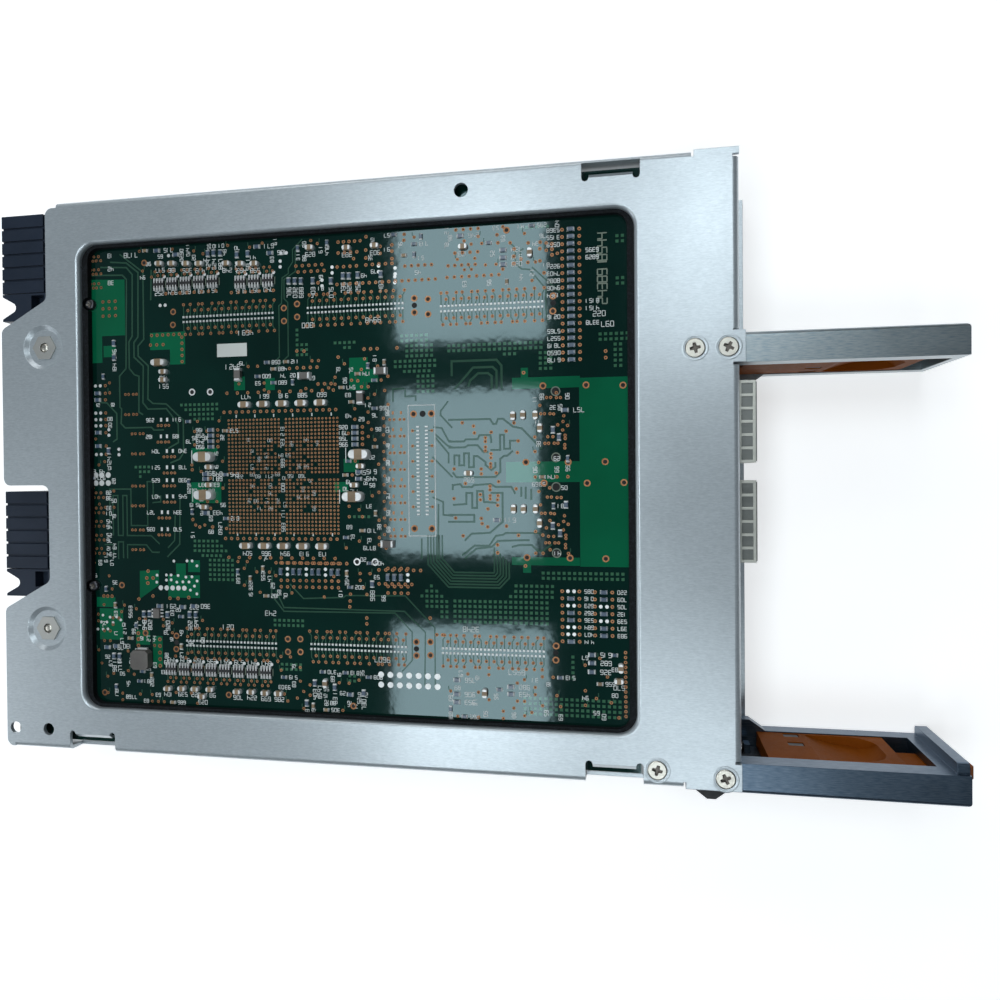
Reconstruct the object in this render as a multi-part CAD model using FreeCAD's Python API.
"""Storage interface module: folded tray, circuit board, backplane connectors, latching handles, port cages.

Millimetres. X runs to the front, where the handles are, Y across the tray and Z up. The module lies on the
open edge of its tray, with the tray's face and its window up and the board's component side down. Shapes are
built about the middle of the tray, and moved to the middle of the whole module when they are written.
"""
import FreeCAD, Part
import math
import os

from FreeCAD import Vector

# Tray: one folded sheet
sheet = 1.0
tray_length = 197.0
tray_width = 150.1
tray_height = 31.0
bend_radius = 1.5
relief_gap = 0.6
upper_wall_start = 17.5
lower_wall_start = 2.5
edge_step = 0.3
corner_length = 10.2
corner_reach = 0.1
handle_tab_reach = 1.3
front_lip_reach = 4.8

# Window in the tray, with its rolled lip, and the gasket under the lip
rear_frame = 24.05
front_frame = 24.05
side_frame = 11.85
window_corner = 4.8
lip_width = 1.2
lip_depth = 1.6
lip_round = 1.0
gasket_overlap = 3.4
gasket_inset = 1.7
gasket_side_inset = 0.9

# Slots at the tray's edges: a floor tab bent down between two reliefs
slot_inset = 4.55
slot_length = 13.8
relief_radius = 0.85
relief_sides = 8
slot_tab_reach = 1.1
slot_tab_drop = 1.3
wall_notch_depth = 5.0
front_slot_offset = 22.6
rear_slot_offset = 19.7

# Holes and embosses in the tray
edge_hole_radius = 1.75
edge_hole_offset = 66.0
edge_hole_inset = 5.15
corner_hole_radius = 1.65
corner_hole_offsets = (2.7, 13.1)
corner_hole_inset = 5.4
emboss_radius = 6.1
emboss_floor_radius = 5.0
emboss_depth = 0.8
emboss_offset = 13.0
emboss_below_connector = 8.3
rear_corner = 2.1

# Board
board_gap = 2.2
board_thick = 2.4
board_margin = 0.8
board_rear_gap = 1.2

# Backplane connectors and their guide blocks
connector_y = {"upper": 43.9, "lower": -33.5}
connector_span = 29.5
connector_reach = 2.5
connector_depth = 34.0
connector_drop = 18.3
connector_step = 1.2
guide_span = 7.6
guide_drop = 14.0
guide_depth = 32.5
seam = 0.2
wafers = 6
groove = 0.6
mating_slot_width = 1.4
mating_slot_depth = 5.0
mating_slot_margin = 3.0
notch_width = 6.2
notch_depth = 5.8
notch_round = 1.4
pocket_size = (4.0, 4.3)
pocket_depth = 3.0
cutout_depth = 14.1
cutout_clear = 1.7
cutout_slant_top = 4.7
cutout_slant_drop = 3.0
cutout_corner = 2.0

# Fasteners
screw_head_radius = 2.35
screw_radius = 1.2
screw_length = 4.6
screw_clear = 0.05
shank_sides = 8
hex_sides = 6
hex_across = 6.2
hex_height = 0.45
hex_socket_radius = 1.3
hex_socket_depth = 1.6
hex_screw_radius = 2.1
hex_screw_length = 6.5
pan_radius = 1.5
pan_height = 1.1
pan_screw_radius = 1.0
pan_offset = 25.7
pan_above_guide = 3.4

# Handles: channel bars whose recess faces the middle of the module
handle_length = 49.4
handle_thick = 7.15
handle_overhang = 0.8
handle_floor = 1.6
handle_rim_far = 4.2
handle_rim_near = 5.2
handle_edge = 1.0
handle_seat = 0.1
upper_handle_drop = 42.6
base_length = {"upper": 14.0, "lower": 12.7}
pocket_wall = 1.2
pocket_end = {"upper": 47.6, "lower": 44.0}
end_lip_length = 2.6
end_lip_rise = 2.5
gusset_length = 9.3
gusset_flat = 5.3
gusset_rise = 2.8
tongue_length = 9.6
tongue_width = 4.4
tongue_drop = 6.0
upper_screws = (10.1, 2.5)
lower_screw = 3.7
tongue_screw = 19.4

# Sliders, latch links, pawls and springs
running = 0.2
slider_start = {"upper": 1.8, "lower": 7.0}
slider_flat = {"upper": 21.4, "lower": 11.7}
scoop_length = 16.3
slider_rib = 2.8
slider_sink = 0.2
scoop_depth = 2.5
scoop_corner = 6.0
scoop_slope = (0.42, 0.72)
scoop_deepest = 0.74
scoop_rise = (0.93, 0.66)
hook_slots = (1.5, 8.0)
hook_slot_width = 2.6
hook_slot_length = 3.8
hook_slot_back = 5.3
stem_width = 9.0
stem_rise = 3.0
tip_reach = 5.3
tip_chamfer = 2.2
slider_travel = 5.0
pawl_travel = 4.2
link_thick = 1.2
link_width = 9.3
link_rear = 9.9
spring_share = 0.37
spring_across = 3.2
spring_wire = 0.5
spring_turns = 6
spring_steps = 6
spring_length = 12.0
post_length = 1.4
peg_radius = 0.95
peg_length = 1.6
peg_x = -8.7
peg_y = 3.0
pawl_rear = 10.4
pawl_front = 2.1
pawl_width = 7.9
pawl_reach = 4.6
pawl_slope = 2.4
pawl_tip = 2.1
pawl_inner = 5.3
cam_groove_depth = 1.9

# Port cages, their spring-finger collars and the connectors in them
port_offset = 13.55
port_pitch = 23.9
cage_width = 19.0
cage_height = 9.0
cage_length = 50.0
cage_wall = 0.5
cage_reach = 4.5
collar_thick = 0.35
collar_fingers = 6
finger_gap = 0.7
finger_margin = 0.7
cage_clear = 0.25
port_connector_size = (8.0, 16.0, 6.6)
port_connector_back = 1.5
card_slot = (5.0, 13.0, 1.3)

# Package, heat sink and clip on the component side
package_place = (-16.7, -0.3)
package_size = 35.0
package_thick = 1.1
lid_size = 29.0
lid_thick = 1.4
sink_size = 41.0
sink_base = 3.0
fin_height = 10.0
fin_thick = 1.3
fins_per_side = 6
clip_channel = 4.0
clip_radius = 0.8
clip_sides = 8
clip_bend = 3.0
anchor_clear = (2.8, 2.25)
anchor_spread = 5.2
anchor_thick = 1.0
clip_overrun = 2.8

# Board-to-board connectors
row_starts = (-45.0, -9.45, 26.15)
row_length = 26.0
row_y = {"upper": 42.3, "lower": -44.6}
row_body = (29.0, 6.2, 5.5)
row_slot = (26.5, 2.6, 3.5)
middle_place = (21.3, 0.5)
middle_body = (7.0, 31.0, 6.0)
middle_slot = (3.6, 27.0, 4.0)

# Small parts on the board's visible face: size as length, width, height. Places near the tray's edges are
# insets from its front or rear end and from its upper or lower side
capacitor_size = (6.1, 2.8, 1.8)
capacitor_places = ((-39.2, 5.0), (-39.1, -5.2), (4.5, 5.1), (2.7, -5.8))
bypass_size = (3.8, 1.7, 1.2)
bypass_count = 5
bypass_pitch = 5.35
bypass_rows = (19.0, -18.4)
array_size = (3.2, 1.7, 0.6)
array_pitch = 3.95
array_insets = ((46.4, 23.25, "upper"), (70.2, 23.85, "upper"), (48.7, 22.75, "lower"))
array_counts = (5, 3, 8)
chip_size = (1.7, 0.95, 0.5)
chip_pitch = 1.77
chip_column_insets = ((39.3, 15.55, "upper"), (39.85, 45.75, "lower"), (31.85, 45.65, "lower"))
chip_column_count = 19
chip_column_filled = (range(chip_column_count), (1, 3, 4, 7), (0, 1, 3, 5, 6))
chip_rows = ((-17.7, -25.5, (0, 2, 3, 5, 6, 8, 9)), (11.7, -26.6, (0, 1, 2)))
inductor_inset = (40.3, 25.15)
inductor_size = 5.2
inductor_height = 2.2
inductor_corner = 0.8

# Places that follow from the sizes above
front_x = tray_length / 2
rear_x = -front_x
side_y = tray_width / 2
face_z = tray_height
under_z = face_z - sheet
board_top = under_z - board_gap
board_bottom = board_top - board_thick
handle_z0 = sheet + handle_seat
handle_z1 = under_z
recess_z0 = handle_z0 + handle_rim_far
recess_z1 = handle_z1 - handle_rim_near
handle_outer = {"upper": side_y - upper_handle_drop, "lower": -(side_y + handle_overhang)}
rim_y = {"upper": handle_outer["upper"] - handle_thick, "lower": handle_outer["lower"] + handle_thick}
port_y = {"upper": rim_y["upper"] - port_offset, "lower": rim_y["upper"] - port_offset - port_pitch}
connector_front = rear_x - connector_reach
slider_top = handle_thick - slider_sink
slider_bottom = handle_floor + 2 * running
link_z0 = recess_z0 + running
link_z1 = link_z0 + link_width
link_bottom = handle_floor + running
spring_z = link_z0 + link_width * spring_share
spring_y = link_bottom + spring_across / 2 + running / 2
spring_rear = -link_rear + pocket_wall
post_x = spring_rear + spring_length
pawl_z0 = link_z1 + running
pawl_z1 = pawl_z0 + pawl_width
anchor_offset = (sink_size / 2 + anchor_clear[0], sink_size / 2 + anchor_clear[1])

tiny = 1e-6

# Middle of the whole module: connectors' mating face to slider's tip, and pawl's tip to tray's corner
middle_x = (connector_front + front_x + handle_length + tip_reach) / 2
middle_y = (handle_outer["lower"] - pawl_reach + side_y + corner_reach) / 2


def box(x0, x1, y0, y1, z0, z1):
    return Part.makeBox(x1 - x0, y1 - y0, z1 - z0, Vector(x0, y0, z0))


def centred_box(x, y, size, z0):
    """Box of length, width and height over a point, standing on z0."""
    return box(x - size[0] / 2, x + size[0] / 2, y - size[1] / 2, y + size[1] / 2, z0, z0 + size[2])


def cylinder(x, y, z0, z1, radius):
    return Part.makeCylinder(radius, z1 - z0, Vector(x, y, z0))


def prism(points, z0, z1):
    """Polygon in the XY plane, drawn up from z0 to z1."""
    corners = [Vector(x, y, z0) for x, y in points]
    face = Part.Face(Part.makePolygon(corners + corners[:1]))
    return face.extrude(Vector(0, 0, z1 - z0))


def ring_points(x, y, sides, radius):
    """Corners of a regular polygon about a point."""
    turns = [2 * math.pi * number / sides for number in range(sides)]
    return [(x + radius * math.cos(turn), y + radius * math.sin(turn)) for turn in turns]


def shank(x, y, z0, z1, radius):
    """Screw shank, with a few flats in place of its thread."""
    return prism(ring_points(x, y, shank_sides, radius), z0, z1)


def edges_along(shape, axis):
    """Straight edges of a shape that run along a direction."""
    found = []
    for edge in shape.Edges:
        if not isinstance(edge.Curve, Part.Line):
            continue
        if abs(edge.tangentAt(edge.FirstParameter).dot(axis)) > 0.999:
            found.append(edge)
    return found


def rounded_box(x0, x1, y0, y1, z0, z1, radius):
    """Box with its four upright edges rounded."""
    solid = box(x0, x1, y0, y1, z0, z1)
    return solid.makeFillet(radius, edges_along(solid, Vector(0, 0, 1)))


def mirrored(shape):
    return shape.mirror(Vector(0, 0, 0), Vector(0, 1, 0))


def rod_section(point, heading, radius):
    """Section of a bent wire that lies flat, square to its heading."""
    side = Vector(0, 0, 1)
    other = heading.cross(side)
    corners = [point + side * up + other * across for up, across in ring_points(0, 0, clip_sides, radius)]
    return Part.Face(Part.makePolygon(corners + corners[:1]))


def bent_rod(points, bend, radius):
    """Wire along straight runs that are joined by tangent bends."""
    pieces = []
    start = points[0]
    for before, corner, after in zip(points, points[1:], points[2:]):
        way_in = (corner - before).normalize()
        way_out = (after - corner).normalize()
        turn = way_in.getAngle(way_out)
        trim = bend * math.tan(turn / 2)
        first = corner - way_in * trim
        inward = (way_out - way_in).normalize()
        centre = corner + inward * (bend / math.cos(turn / 2))
        section = rod_section(first, way_in, radius)
        pieces.append(rod_section(start, way_in, radius).extrude(first - start))
        pieces.append(section.revolve(centre, way_in.cross(way_out), math.degrees(turn)))
        start = corner + way_out * trim
    last = points[-1] - start
    heading = (points[-1] - points[-2]).normalize()
    pieces.append(rod_section(start, heading, radius).extrude(last))
    return pieces[0].fuse(pieces[1:])


def write(node, shape):
    """Move a piece to the module's own axes and write it as one node."""
    placed = shape.removeSplitter()
    placed.translate(Vector(-middle_x, -middle_y, 0))
    placed.exportStep("parts/" + node + ".step")


# Tray

def window_box(grow, z0, z1):
    """Rounded window outline, moved outwards by grow."""
    return framed_box(grow, grow, z0, z1)


def framed_box(grow, side_grow, z0, z1):
    """Rounded window outline, moved outwards by grow along X and by side_grow along Y."""
    return rounded_box(
        rear_x + rear_frame - grow, front_x - front_frame + grow,
        -side_y + side_frame - side_grow, side_y - side_frame + side_grow, z0, z1, window_corner + grow)


def bent_wall(length, edge):
    """Wall with its bend, on the +Y side, drawn along X from zero."""
    flat = edge - bend_radius
    bend_z = face_z - bend_radius
    inner_radius = bend_radius - sheet
    slant = math.sqrt(0.5)
    outline = [
        Part.Arc(
            Vector(0, flat, face_z),
            Vector(0, flat + bend_radius * slant, bend_z + bend_radius * slant),
            Vector(0, edge, bend_z)).toShape(),
        Part.LineSegment(Vector(0, edge, bend_z), Vector(0, edge, 0)).toShape(),
        Part.LineSegment(Vector(0, edge, 0), Vector(0, edge - sheet, 0)).toShape(),
        Part.LineSegment(Vector(0, edge - sheet, 0), Vector(0, edge - sheet, bend_z)).toShape(),
        Part.Arc(
            Vector(0, edge - sheet, bend_z),
            Vector(0, flat + inner_radius * slant, bend_z + inner_radius * slant),
            Vector(0, flat, under_z)).toShape(),
        Part.LineSegment(Vector(0, flat, under_z), Vector(0, flat, face_z)).toShape(),
    ]
    return Part.Face(Part.Wire(outline)).extrude(Vector(length, 0, 0))


def side_walls():
    upper_start = rear_x + upper_wall_start
    upper_end = front_x - corner_length - relief_gap
    lower_start = rear_x + lower_wall_start
    lower_end = front_x - base_length["lower"] - relief_gap
    upper = bent_wall(upper_end - upper_start, side_y)
    upper.translate(Vector(upper_start, 0, 0))
    lower = mirrored(bent_wall(lower_end - lower_start, side_y))
    lower.translate(Vector(lower_start, 0, 0))
    return [upper, lower]


def front_walls():
    """Front wall between the handles and beside the upper one, each stretch with its outward lip."""
    stretches = [
        (rim_y["lower"] + relief_gap, rim_y["upper"] - relief_gap),
        (handle_outer["upper"] + relief_gap, side_y - bend_radius - relief_gap),
    ]
    walls = []
    for low, high in stretches:
        wall = bent_wall(high - low, front_x)
        wall.rotate(Vector(0, 0, 0), Vector(0, 0, 1), -90)
        wall.translate(Vector(0, high, 0))
        walls.append(wall)
        walls.append(box(front_x - sheet, front_x + front_lip_reach, low, high, 0, sheet))
    return walls


def flat_tabs():
    """Parts of the floor that stay flat to their edge, where no wall is bent from it."""
    flat_y = side_y - bend_radius
    flat_x = front_x - bend_radius
    return [
        box(front_x - corner_length, front_x, flat_y, side_y + corner_reach, under_z, face_z),
        box(front_x - base_length["lower"], front_x, -side_y, rim_y["lower"], under_z, face_z),
        box(
            flat_x, front_x + handle_tab_reach, rim_y["upper"], handle_outer["upper"] + edge_step,
            under_z, face_z),
        box(rear_x, rear_x + lower_wall_start, -side_y + edge_step, -flat_y, under_z, face_z),
    ]


def window_lip():
    """Edge of the window, turned down all round with a rolled top."""
    ring = window_box(lip_width, face_z - lip_depth, face_z).cut(window_box(0, face_z - lip_depth, face_z))
    inner = window_box(0, face_z - lip_depth, face_z).BoundBox
    rolled = []
    for edge in ring.Edges:
        ends = edge.BoundBox
        at_top = ends.ZMin > face_z - tiny
        inside = ends.XMin > inner.XMin - tiny and ends.XMax < inner.XMax + tiny
        within = ends.YMin > inner.YMin - tiny and ends.YMax < inner.YMax + tiny
        if at_top and inside and within:
            rolled.append(edge)
    return ring.makeFillet(lip_round, rolled)


def connector_cutout(low):
    """Prism that opens the rear edge for one connector, with a slanted lower side."""
    inner_x = rear_x + cutout_depth
    outside = rear_x - connector_reach
    top = low + connector_span + cutout_clear
    bottom = low - cutout_slant_drop
    flare = 2 * cutout_corner
    outline = [
        (outside, top + flare), (rear_x, top + flare), (rear_x, top), (inner_x, top),
        (inner_x, low + cutout_slant_top), (rear_x, bottom), (rear_x, bottom - flare),
        (outside, bottom - flare)]
    solid = prism(outline, under_z - sheet, face_z + sheet)
    corners = []
    for edge in edges_along(solid, Vector(0, 0, 1)):
        ends = edge.BoundBox
        if ends.XMin > rear_x - tiny and bottom - tiny < ends.YMin < top + tiny:
            corners.append(edge)
    return solid.makeFillet(cutout_corner, corners)


def rear_corners():
    """What rounding takes off the floor's two outer corners at the rear."""
    upper_x = rear_x + cutout_depth + rear_corner
    upper_y = side_y - bend_radius - rear_corner
    lower_x = rear_x + rear_corner
    lower_y = -side_y + edge_step + rear_corner
    upper = box(rear_x, upper_x, upper_y, side_y, under_z, face_z)
    lower = box(rear_x - sheet, lower_x, -side_y - sheet, lower_y, under_z, face_z)
    return [
        upper.cut(cylinder(upper_x, upper_y, under_z, face_z, rear_corner)),
        lower.cut(cylinder(lower_x, lower_y, under_z, face_z, rear_corner)),
    ]


def edge_slot(start):
    """Slot along the +Y edge that leaves a tab between two reliefs: what is cut, and the tab."""
    end = start + slot_length
    root = side_y - slot_inset
    low = under_z - bend_radius
    cut = box(start, end, root, side_y - sheet, low, face_z + sheet)
    for x in (start + relief_radius, end - relief_radius):
        cut = cut.fuse(prism(ring_points(x, root, relief_sides, relief_radius), low, face_z + sheet))
    tab_start = start + 2 * relief_radius
    tab_end = end - 2 * relief_radius
    section = [
        Vector(tab_start, root, face_z),
        Vector(tab_start, root + slot_tab_reach, face_z - slot_tab_drop),
        Vector(tab_start, root + slot_tab_reach, under_z - slot_tab_drop),
        Vector(tab_start, root, under_z),
    ]
    tab = Part.Face(Part.makePolygon(section + section[:1])).extrude(Vector(tab_end - tab_start, 0, 0))
    return cut, tab


def wall_notch(start):
    """Opening in the -Y wall below an edge slot."""
    return box(
        start, start + slot_length, -side_y - sheet, -side_y + sheet,
        face_z - wall_notch_depth, face_z + sheet)


def emboss(x, y):
    """Shallow round pan pressed into the floor, with a hole for its standoff."""
    floor_z = face_z - emboss_depth
    side = emboss_radius - emboss_floor_radius
    points = [
        Vector(hex_screw_radius + screw_clear, 0, floor_z),
        Vector(emboss_floor_radius, 0, floor_z),
        Vector(emboss_radius, 0, face_z),
        Vector(emboss_radius + side / 2, 0, face_z),
        Vector(emboss_radius + side / 2, 0, under_z),
        Vector(emboss_floor_radius + side / 2, 0, floor_z - sheet),
        Vector(hex_screw_radius + screw_clear, 0, floor_z - sheet),
    ]
    pan = Part.Face(Part.makePolygon(points + points[:1])).revolve(Vector(0, 0, 0), Vector(0, 0, 1), 360)
    pan.translate(Vector(x, y, 0))
    return pan, cylinder(x, y, under_z, face_z, emboss_radius + side / 2)


def emboss_places():
    return [(rear_x + emboss_offset, low - emboss_below_connector) for low in connector_y.values()]


def tray_screw_places():
    upper_mid = handle_outer["upper"] - handle_thick / 2
    lower_mid = handle_outer["lower"] + handle_thick / 2
    tongue_mid = handle_outer["lower"] + tongue_y0() + tongue_width / 2
    places = [(front_x - back, upper_mid) for back in upper_screws]
    places.append((front_x - lower_screw, lower_mid))
    places.append((front_x - tongue_screw, tongue_mid))
    return places


def port_cutout(y):
    """Hole in the front wall for one cage and its collar."""
    half = cage_width / 2 + collar_thick + cage_clear
    reach = collar_thick + cage_clear
    return box(
        front_x - bend_radius, front_x + sheet, y - half, y + half,
        board_bottom - cage_height - reach, board_bottom + reach)


def tray():
    flat_y = side_y - bend_radius
    solid = box(rear_x, front_x - bend_radius, -flat_y, flat_y, under_z, face_z)
    solid = solid.fuse(side_walls() + front_walls() + flat_tabs())
    solid = solid.cut(window_box(lip_width, under_z, face_z)).fuse(window_lip())
    solid = solid.cut([connector_cutout(low) for low in connector_y.values()] + rear_corners())
    front_slot = front_x - front_slot_offset - slot_length
    rear_slot = rear_x + rear_slot_offset
    front_cut, front_tab = edge_slot(front_slot)
    rear_cut, rear_tab = edge_slot(rear_slot)
    solid = solid.cut([front_cut, mirrored(front_cut), mirrored(rear_cut)])
    solid = solid.cut([wall_notch(front_slot), wall_notch(rear_slot)])
    solid = solid.fuse([front_tab, mirrored(front_tab), mirrored(rear_tab)])
    for x, y in emboss_places():
        pan, room = emboss(x, y)
        solid = solid.cut(room).fuse(pan)
    edge_hole_y = side_y - edge_hole_inset
    corner_hole_y = -side_y + corner_hole_inset
    holes = [cylinder(front_x - edge_hole_offset, edge_hole_y, under_z, face_z, edge_hole_radius)]
    for offset in corner_hole_offsets:
        holes.append(cylinder(rear_x + offset, corner_hole_y, under_z, face_z, corner_hole_radius))
    for x, y in tray_screw_places():
        holes.append(Part.makeCone(
            screw_radius + screw_clear, screw_head_radius + screw_clear, sheet, Vector(x, y, under_z)))
    holes.extend(port_cutout(y) for y in port_y.values())
    return solid.cut(holes)


def window_gasket():
    z0 = board_top
    z1 = face_z - lip_depth
    ring = window_box(gasket_overlap, z0, z1).cut(framed_box(-gasket_inset, -gasket_side_inset, z0, z1))
    return ring.cut([cylinder(x, y, z0, z1, pan_radius + running) for x, y in pan_places()])


# Board

def main_board():
    half = side_y - sheet - board_margin
    rear = rear_x + board_rear_gap
    front = front_x - sheet - board_margin
    solid = box(rear, front, -half, half, board_bottom, board_top)
    room = []
    for low in connector_y.values():
        room.append(box(
            connector_front, rear_x + connector_room(), low - cutout_slant_drop,
            low + connector_span + cutout_clear + edge_step, board_bottom, board_top))
    for side in ("upper", "lower"):
        y0 = min(handle_outer[side], rim_y[side]) - board_margin
        y1 = max(handle_outer[side], rim_y[side]) + board_margin
        base_rear = front_x - base_length[side] - board_margin
        room.append(box(base_rear, front_x, y0, y1, board_bottom, board_top))
    tongue_start = front_x - base_length["lower"] - tongue_length - board_margin
    tongue_top = handle_outer["lower"] + tongue_y0() + tongue_width + board_margin
    room.append(box(tongue_start, front_x, -side_y, tongue_top, board_bottom, board_top))
    for x, y in emboss_places():
        room.append(cylinder(x, y, board_bottom, board_top, hex_screw_radius + screw_clear))
    for x, y in pan_places():
        room.append(cylinder(x, y, board_bottom, board_top, pan_screw_radius + screw_clear))
    return solid.cut(room)


# Backplane connectors

def connector_room():
    """How far the board's edge is notched behind the tray's rear edge."""
    return cutout_depth - cutout_corner


def backplane_connector(low):
    """Wafer connector: front housing beside the board's edge, rear part under the board."""
    y0 = low + guide_span + seam
    y1 = low + connector_span
    z0 = board_top - connector_drop
    edge_x = rear_x + connector_room() - seam
    front = box(connector_front, edge_x, y0, y1, z0, board_top)
    rear = box(
        edge_x, connector_front + connector_depth, y0 + connector_step, y1 - connector_step, z0 + groove,
        board_bottom)
    solid = front.fuse(rear)
    pitch = (y1 - y0) / wafers
    cuts = []
    for number in range(wafers):
        middle = y0 + (number + 0.5) * pitch
        cuts.append(box(
            connector_front, connector_front + mating_slot_depth,
            middle - mating_slot_width / 2, middle + mating_slot_width / 2,
            z0 + mating_slot_margin, board_top - mating_slot_margin))
    for number in range(1, wafers):
        joint = y0 + number * pitch
        left = joint - groove / 2
        right = joint + groove / 2
        cuts.append(box(connector_front, edge_x, left, right, board_top - groove, board_top))
        cuts.append(box(edge_x, connector_front + connector_depth, left, right, z0, z0 + 2 * groove))
    cuts.append(box(edge_x - 2 * groove, edge_x, y0, y1, board_top - groove, board_top))
    return solid.cut(cuts)


def guide_block(low):
    """Guide receptacle under each connector, with a V mouth, a pocket and a foot under the board."""
    y1 = low + guide_span
    z0 = board_top - guide_drop
    edge_x = rear_x + connector_room() - seam
    front = box(connector_front, edge_x, low, y1, z0, board_top)
    rear = box(edge_x, connector_front + guide_depth, low, y1, z0 + guide_drop / 2, board_bottom)
    middle = low + guide_span / 2
    mouth = prism(
        [(connector_front, middle - notch_width / 2), (connector_front + notch_depth, middle),
         (connector_front, middle + notch_width / 2)], z0, board_top)
    bottom = connector_front + notch_depth - tiny
    mouth = mouth.makeFillet(
        notch_round, [edge for edge in edges_along(mouth, Vector(0, 0, 1)) if edge.BoundBox.XMin > bottom])
    pocket_x = edge_x - 2 * groove
    pocket = box(
        pocket_x - pocket_size[0], pocket_x, y1 - pocket_size[1] - groove, y1 - groove,
        board_top - pocket_depth, board_top)
    thread = [shank(x, y, z0, board_bottom, pan_screw_radius) for x, y in pan_places()]
    return front.fuse(rear).cut([mouth, pocket] + thread)


# Fasteners

def tray_screws():
    """Flat-head screws that hold both handles to the tray."""
    screws = []
    for x, y in tray_screw_places():
        head = Part.makeCone(screw_radius, screw_head_radius, sheet, Vector(x, y, under_z))
        screws.append(head.fuse(shank(x, y, under_z - screw_length, under_z, screw_radius)))
    return Part.makeCompound(screws)


def hex_screws():
    """Clinched standoffs: a flat hexagon in the emboss, a collar under it and a post through the board."""
    screws = []
    seat = face_z - emboss_depth
    for x, y in emboss_places():
        corner_radius = hex_across / (2 * math.cos(math.pi / hex_sides))
        head = prism(ring_points(x, y, hex_sides, corner_radius), seat, seat + hex_height)
        collar = prism(ring_points(x, y, hex_sides, corner_radius), board_top, seat - sheet)
        post = shank(x, y, seat - hex_screw_length, seat, hex_screw_radius)
        socket = cylinder(x, y, seat - hex_socket_depth, seat + hex_height, hex_socket_radius)
        screws.append(head.fuse([collar, post]).cut(socket))
    return Part.makeCompound(screws)


def pan_places():
    return [(rear_x + pan_offset, low + pan_above_guide) for low in connector_y.values()]


def guide_screws():
    """Pan-head screws on the board that hold the guide blocks."""
    screws = []
    for x, y in pan_places():
        head = cylinder(x, y, board_top, board_top + pan_height, pan_radius)
        screws.append(head.fuse(shank(x, y, board_bottom - guide_drop / 4, board_top, pan_screw_radius)))
    return Part.makeCompound(screws)


# Handles: built with the outer face at Y zero and the recess towards +Y, X from the tray's front

def on_handle(side, shape):
    """Put a piece that was built in the handle's own axes in its place on the module."""
    placed = mirrored(shape) if side == "upper" else shape.copy()
    placed.translate(Vector(front_x, handle_outer[side], 0))
    return placed


def tongue_y0():
    return handle_overhang + bend_radius + running


def handle(side):
    base = -base_length[side]
    body = box(base, handle_length, 0, handle_thick, handle_z0, handle_z1)
    long_edges = edges_along(body, Vector(1, 0, 0))
    end_edges = [edge for edge in edges_along(body, Vector(0, 0, 1)) if edge.BoundBox.XMin > 0]
    outer = [edge for edge in long_edges + end_edges if edge.BoundBox.YMax < handle_thick / 2]
    body = body.makeFillet(handle_edge, outer)
    if side == "lower":
        body = body.fuse([end_lip(), tongue()])
    body = body.fuse(gusset())
    body = body.cut(box(
        base + pocket_wall, pocket_end[side], handle_floor, handle_thick + gusset_rise,
        recess_z0, recess_z1))
    body = body.fuse(spring_post())
    body = body.cut(box(
        -pawl_rear - running, -pawl_front + running, 0, handle_floor, pawl_z0 - running, pawl_z1 + running))
    if side == "lower":
        half = stem_width / 2 + running
        middle = (recess_z0 + recess_z1) / 2
        body = body.cut(box(
            pocket_end[side], handle_length, slider_bottom - running, slider_bottom + stem_rise + running,
            middle - half, middle + half))
    threads = []
    for x, y in tray_screw_places():
        local_y = handle_outer["upper"] - y if side == "upper" else y - handle_outer["lower"]
        threads.append(shank(x - front_x, local_y, under_z - screw_length, under_z, screw_radius))
    return on_handle(side, body.cut(threads))


def end_lip():
    """Raised stop across the end of the lower handle."""
    lip = box(
        handle_length - end_lip_length, handle_length, 0, handle_thick + end_lip_rise,
        handle_z0 + handle_edge, handle_z1 - handle_edge)
    upright = [edge for edge in edges_along(lip, Vector(1, 0, 0)) if edge.BoundBox.YMin > handle_thick]
    return lip.makeFillet(handle_edge, upright)


def gusset():
    """Web at the root of the far rim."""
    return prism(
        [(0, 0), (gusset_length, 0), (gusset_length, handle_thick),
         (gusset_flat, handle_thick + gusset_rise), (0, handle_thick + gusset_rise)],
        handle_z0 + handle_edge, handle_z0 + handle_rim_far)


def tongue():
    """Flat arm of the lower handle that runs back inside the tray's wall to its second screw."""
    base = -base_length["lower"]
    return box(
        base - tongue_length, base + pocket_wall, tongue_y0(), tongue_y0() + tongue_width,
        handle_z1 - tongue_drop, handle_z1)


def spring_post():
    half = spring_across / 2
    return box(post_x, post_x + post_length, handle_floor, spring_y + half, spring_z - half, spring_z + half)


# Sliders and latches, in the handle's own axes

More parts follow.
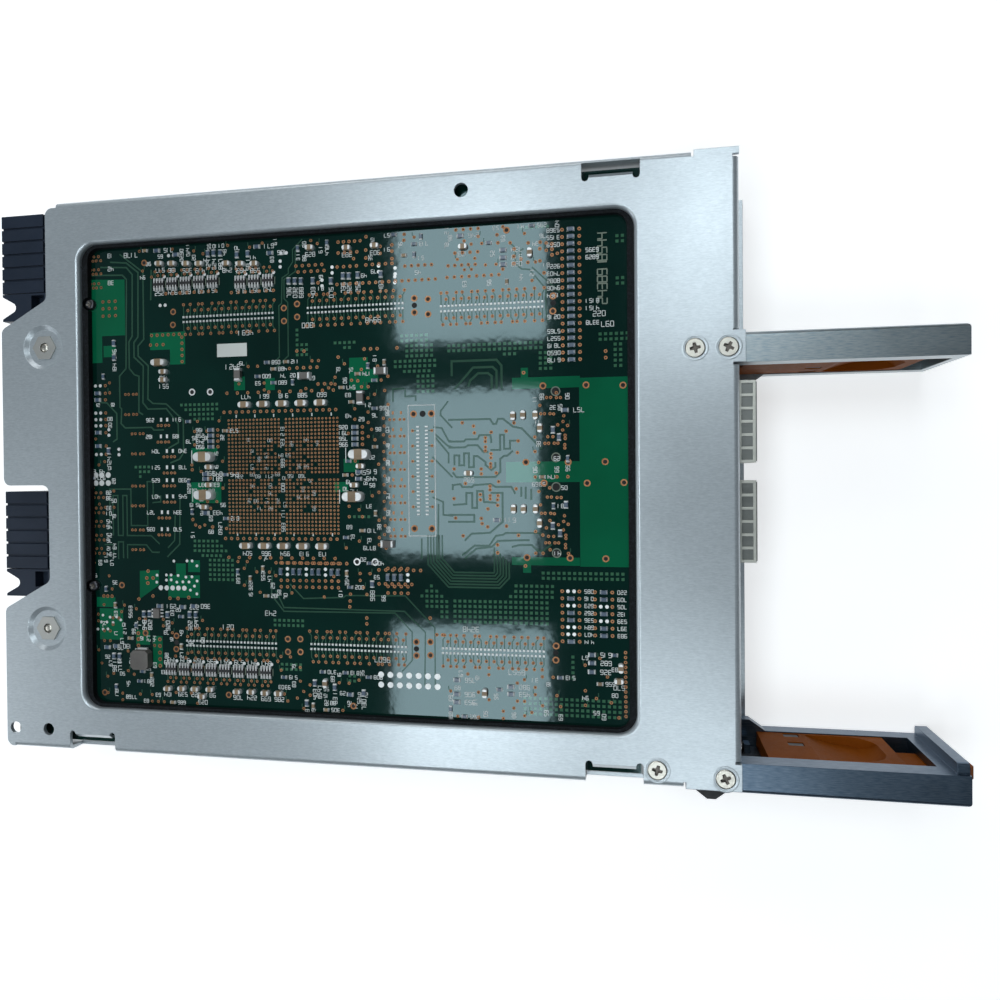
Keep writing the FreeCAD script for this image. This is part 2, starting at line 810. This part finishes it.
def scoop(start):
    """Finger hollow: shallow at the rear, deep and round at the front, where the finger pulls."""
    end = start + scoop_length
    deep_x = start + scoop_length * scoop_deepest
    above = slider_top + scoop_depth
    low = slider_top - scoop_depth
    edges = [
        Part.Arc(
            Vector(start, slider_top, 0),
            Vector(start + scoop_length * scoop_slope[0], slider_top - scoop_depth * scoop_slope[1], 0),
            Vector(deep_x, low, 0)).toShape(),
        Part.Arc(
            Vector(deep_x, low, 0),
            Vector(start + scoop_length * scoop_rise[0], slider_top - scoop_depth * scoop_rise[1], 0),
            Vector(end, slider_top, 0)).toShape(),
        Part.LineSegment(Vector(end, slider_top, 0), Vector(end, above, 0)).toShape(),
        Part.LineSegment(Vector(end, above, 0), Vector(start, above, 0)).toShape(),
        Part.LineSegment(Vector(start, above, 0), Vector(start, slider_top, 0)).toShape(),
    ]
    z0 = recess_z0 + running + sheet
    z1 = recess_z1 - running - sheet
    hollow = Part.Face(Part.Wire(edges)).extrude(Vector(0, 0, z1 - z0))
    hollow.translate(Vector(0, 0, z0))
    outline = box(start - scoop_corner, end, 0, above, z0, z1)
    corners = [edge for edge in edges_along(outline, Vector(0, 1, 0)) if edge.BoundBox.XMin > start]
    return hollow.common(outline.makeFillet(scoop_corner, corners))


def hook_boxes(side, play, y0, y1):
    """The two hooks of the latch link, or with play the slots that take them."""
    end = slider_start[side] + slider_flat[side] - hook_slot_back + hook_slot_length
    boxes = []
    for offset in hook_slots:
        z0 = link_z0 + offset - hook_slot_width / 2 + running
        boxes.append(box(
            end - hook_slot_length + play, end - play, y0, y1, z0 + play, z0 + hook_slot_width - play))
    return boxes


def slider(side):
    start = slider_start[side]
    scoop_start = start + slider_flat[side]
    end = scoop_start + scoop_length + slider_rib
    body = box(start, end, slider_bottom, slider_top, recess_z0 + running, recess_z1 - running)
    body = body.cut(scoop(scoop_start))
    body = body.cut(hook_boxes(side, 0, slider_bottom, slider_top))
    under = box(
        start, scoop_start, slider_bottom, link_bottom + link_thick + running / 2,
        recess_z0, link_z1 + running)
    body = body.cut([under, spring_room()])
    if side == "lower":
        body = body.fuse(stem(end))
    return on_handle(side, body)


def spring_room():
    """Space that a slider leaves round the spring and its post."""
    half = spring_across / 2 + running
    return box(
        -link_rear, post_x + post_length + running, slider_bottom, spring_y + half,
        spring_z - half, spring_z + half)


def stem(start):
    """Flat stem that runs out through the end of the lower handle, with a cut-cornered tip."""
    half = stem_width / 2
    middle = (recess_z0 + recess_z1) / 2
    bar = box(
        start - slider_rib, handle_length + tip_reach, slider_bottom, slider_bottom + stem_rise,
        middle - half, middle + half)
    corners = [edge for edge in edges_along(bar, Vector(0, 1, 0)) if edge.BoundBox.XMin > handle_length]
    return bar.makeChamfer(tip_chamfer, corners)


def latch_link(side):
    """Link under the slider: hooks in the slider, a wall that bears on the spring and a peg for the pawl."""
    hook_end = slider_start[side] + slider_flat[side] - hook_slot_back + hook_slot_length
    top = link_bottom + link_thick
    half = spring_across / 2 + running
    plate = box(-link_rear, hook_end - running, link_bottom, top, link_z0, link_z1)
    plate = plate.cut(box(
        spring_rear, post_x + post_length + running, link_bottom, top, spring_z - half, spring_z + half))
    wall = box(
        -link_rear, spring_rear, link_bottom, spring_y + spring_across / 2, spring_z - half, spring_z + half)
    arm = box(
        peg_x - peg_radius - running, peg_x + peg_radius + running,
        link_bottom, peg_y + peg_radius + running, spring_z + half, link_z1)
    peg = cylinder(peg_x, peg_y, link_z1, link_z1 + running + peg_length, peg_radius)
    link = plate.fuse([wall, arm, peg] + hook_boxes(side, running / 2, top - running, slider_top - running))
    return on_handle(side, link)


def latch_pawl(side):
    """Wedge that slides through the handle's outer wall, driven by the peg in its slanted groove."""
    middle = -(pawl_rear + pawl_front) / 2
    half_tip = pawl_tip / 2
    body = prism(
        [(-pawl_rear, pawl_inner), (-pawl_rear, pawl_slope - pawl_reach),
         (middle - half_tip, -pawl_reach), (middle + half_tip, -pawl_reach),
         (-pawl_front, pawl_slope - pawl_reach), (-pawl_front, pawl_inner)],
        pawl_z0, pawl_z1)
    return on_handle(side, body.cut(cam_groove()))


def cam_groove():
    """Path of the peg in the pawl, from the rest position to the pulled one."""
    radius = peg_radius + running / 2
    way = Vector(slider_travel, -pawl_travel, 0)
    across = Vector(-way.y, way.x, 0).normalize() * radius
    first = Vector(peg_x, peg_y, 0)
    last = first + way
    corners = [first + across, last + across, last - across, first - across]
    z1 = pawl_z0 + cam_groove_depth
    run = prism([(corner.x, corner.y) for corner in corners], pawl_z0, z1)
    ends = [cylinder(spot.x, spot.y, pawl_z0, z1, radius) for spot in (first, last)]
    return run.fuse(ends)


def slider_spring(side):
    """Compression spring of square wire, in flat facets, between the link's wall and the handle's post."""
    outer = spring_across / 2
    inner = outer - spring_wire
    steps = spring_turns * spring_steps
    sections = []
    for number in range(steps + 1):
        turn = 2 * math.pi * number / spring_steps
        low = spring_rear + (spring_length - spring_wire) * number / steps
        high = low + spring_wire
        section = []
        for x, radius in ((low, inner), (low, outer), (high, outer), (high, inner)):
            section.append(Vector(x, spring_y + radius * math.cos(turn), spring_z + radius * math.sin(turn)))
        sections.append(section)
    facets = [sections[0], sections[-1]]
    for near, far in zip(sections, sections[1:]):
        for corner in range(4):
            after = (corner + 1) % 4
            facets.append([near[corner], near[after], far[after]])
            facets.append([near[corner], far[after], far[corner]])
    shell = Part.makeShell([Part.Face(Part.makePolygon(facet + facet[:1])) for facet in facets])
    shell.sewShape()
    return on_handle(side, Part.makeSolid(shell))


# Ports

def port_cage(y):
    """Sheet cage on the component side, open at the front, with room at the rear for its connector."""
    front = front_x + cage_reach
    rear = front - cage_length
    half = cage_width / 2
    z1 = board_bottom
    z0 = z1 - cage_height
    shell = box(rear, front, y - half, y + half, z0, z1)
    inside = box(
        rear + cage_wall, front, y - half + cage_wall, y + half - cage_wall, z0 + cage_wall, z1 - cage_wall)
    length, width, _ = port_connector_size
    opening_half = width / 2 + cage_wall
    opening = box(
        rear + cage_wall, rear + 2 * port_connector_back + length, y - opening_half, y + opening_half,
        z1 - cage_wall, z1)
    return shell.cut([inside, opening])


def cage_collar(y):
    """Frame of spring fingers round the cage's mouth."""
    x0 = front_x + cage_clear
    x1 = front_x + cage_reach - cage_clear
    half = cage_width / 2
    z1 = board_bottom
    z0 = z1 - cage_height
    ring = box(
        x0, x1, y - half - collar_thick, y + half + collar_thick, z0 - collar_thick, z1 + collar_thick)
    cuts = [box(x0, x1, y - half, y + half, z0, z1)]
    pitch = cage_width / collar_fingers
    for number in range(collar_fingers):
        left = y - half + number * pitch + finger_gap / 2
        cuts.append(box(
            x0 + finger_margin, x1 - finger_margin, left, left + pitch - finger_gap,
            z0 - collar_thick, z1 + collar_thick))
    return ring.cut(cuts)


def port_connector(y):
    """Board connector inside the cage, with its card slot towards the front."""
    length, width, height = port_connector_size
    rear = front_x + cage_reach - cage_length + port_connector_back
    body = box(rear, rear + length, y - width / 2, y + width / 2, board_bottom - height, board_bottom)
    slot_length, slot_width, slot_height = card_slot
    middle = board_bottom - height / 2
    return body.cut(box(
        rear + length - slot_length, rear + length, y - slot_width / 2, y + slot_width / 2,
        middle - slot_height / 2, middle + slot_height / 2))


# Package, heat sink and clip

def chip_package():
    x, y = package_place
    substrate = centred_box(x, y, (package_size, package_size, package_thick), board_bottom - package_thick)
    lid = centred_box(x, y, (lid_size, lid_size, lid_thick), board_bottom - package_thick - lid_thick)
    return substrate.fuse(lid)


def sink_level():
    """Height of the heat sink's seat on the package."""
    return board_bottom - package_thick - lid_thick


def heat_sink():
    """Finned plate under the package, with a channel along X for the clip."""
    x, y = package_place
    base_z = sink_level() - sink_base
    plate = centred_box(x, y, (sink_size, sink_size, sink_base), base_z)
    first = clip_channel / 2
    pitch = (sink_size / 2 - first - fin_thick) / (fins_per_side - 1)
    fins = []
    for number in range(fins_per_side):
        for way in (-1, 1):
            middle = y + way * (first + fin_thick / 2 + number * pitch)
            fins.append(centred_box(x, middle, (sink_size, fin_thick, fin_height), base_z - fin_height))
    return plate.fuse(fins)


def clip_level():
    return sink_level() - sink_base - clip_radius


def sink_clip():
    """Bent wire along the heat sink's channel, with its two arms held by the anchors."""
    x, y = package_place
    across, along = anchor_offset
    z = clip_level()
    reach = along + clip_overrun
    points = [(x - across, y + reach), (x - across, y), (x + across, y), (x + across, y - reach)]
    return bent_rod([Vector(px, py, z) for px, py in points], clip_bend, clip_radius)


def clip_anchors():
    """Square-wire staples in the board that hold the clip's arms."""
    x, y = package_place
    across, along = anchor_offset
    bar_z = clip_level() - clip_radius - anchor_thick
    half = (anchor_spread + anchor_thick) / 2
    staples = []
    for way in (-1, 1):
        mid_x = x + way * across
        mid_y = y - way * along
        inner = half - anchor_thick
        side = anchor_thick / 2
        staple = box(mid_x - half, mid_x + half, mid_y - side, mid_y + side, bar_z, board_bottom)
        gap = box(
            mid_x - inner, mid_x + inner, mid_y - side, mid_y + side, bar_z + anchor_thick, board_bottom)
        staples.append(staple.cut(gap))
    return Part.makeCompound(staples)


# Other connectors on the component side

def socket(x, y, body, slot):
    """Connector block under the board with its contact slot open downwards."""
    block = centred_box(x, y, body, board_bottom - body[2])
    return block.cut(centred_box(x, y, slot, board_bottom - body[2]))


def row_connectors(side):
    middles = [start + row_length / 2 for start in row_starts]
    return Part.makeCompound([socket(x, row_y[side], row_body, row_slot) for x in middles])


def middle_connector():
    return socket(middle_place[0], middle_place[1], middle_body, middle_slot)


# Small parts on the visible face

def across(inset, side):
    """Y at an inset from one side of the tray."""
    return side_y - inset if side == "upper" else inset - side_y


def chip_capacitors():
    chips = [centred_box(x, y, capacitor_size, board_top) for x, y in capacitor_places]
    first = package_place[0] - bypass_pitch * (bypass_count - 1) / 2
    for offset in bypass_rows:
        for number in range(bypass_count):
            x = first + number * bypass_pitch
            chips.append(centred_box(x, package_place[1] + offset, bypass_size, board_top))
    return Part.makeCompound(chips)


def resistor_arrays():
    chips = []
    for (inset, side_inset, side), count in zip(array_insets, array_counts):
        y = across(side_inset, side)
        for number in range(count):
            chips.append(centred_box(rear_x + inset + number * array_pitch, y, array_size, board_top))
    return Part.makeCompound(chips)


def chip_resistors():
    """Columns of chips that lie along X, and rows of chips that lie along Y."""
    length, width, height = chip_size
    chips = []
    for (inset, side_inset, side), filled in zip(chip_column_insets, chip_column_filled):
        y = across(side_inset, side)
        for place in filled:
            chips.append(centred_box(front_x - inset, y - place * chip_pitch, chip_size, board_top))
    for x, y, filled in chip_rows:
        turned = (width, length, height)
        chips.extend(centred_box(x + place * chip_pitch, y, turned, board_top) for place in filled)
    return Part.makeCompound(chips)


def power_inductor():
    x = rear_x + inductor_inset[0]
    y = across(inductor_inset[1], "lower")
    block = centred_box(x, y, (inductor_size, inductor_size, inductor_height), board_top)
    return block.makeChamfer(inductor_corner, edges_along(block, Vector(0, 0, 1)))


os.makedirs("parts", exist_ok=True)
write("tray", tray())
write("window_gasket", window_gasket())
write("main_board", main_board())
for side, low in connector_y.items():
    write(side + "_backplane_connector", backplane_connector(low))
    write(side + "_guide_block", guide_block(low))
write("tray_screws", tray_screws())
write("hex_screws", hex_screws())
write("guide_screws", guide_screws())
for side in ("upper", "lower"):
    write(side + "_handle", handle(side))
    write(side + "_slider", slider(side))
    write(side + "_latch_link", latch_link(side))
    write(side + "_latch_pawl", latch_pawl(side))
    write(side + "_slider_spring", slider_spring(side))
    write(side + "_port_cage", port_cage(port_y[side]))
    write(side + "_cage_collar", cage_collar(port_y[side]))
    write(side + "_port_connector", port_connector(port_y[side]))
    write(side + "_row_connectors", row_connectors(side))
write("chip_package", chip_package())
write("heat_sink", heat_sink())
write("sink_clip", sink_clip())
write("clip_anchors", clip_anchors())
write("middle_connector", middle_connector())
write("chip_capacitors", chip_capacitors())
write("resistor_arrays", resistor_arrays())
write("chip_resistors", chip_resistors())
write("power_inductor", power_inductor())
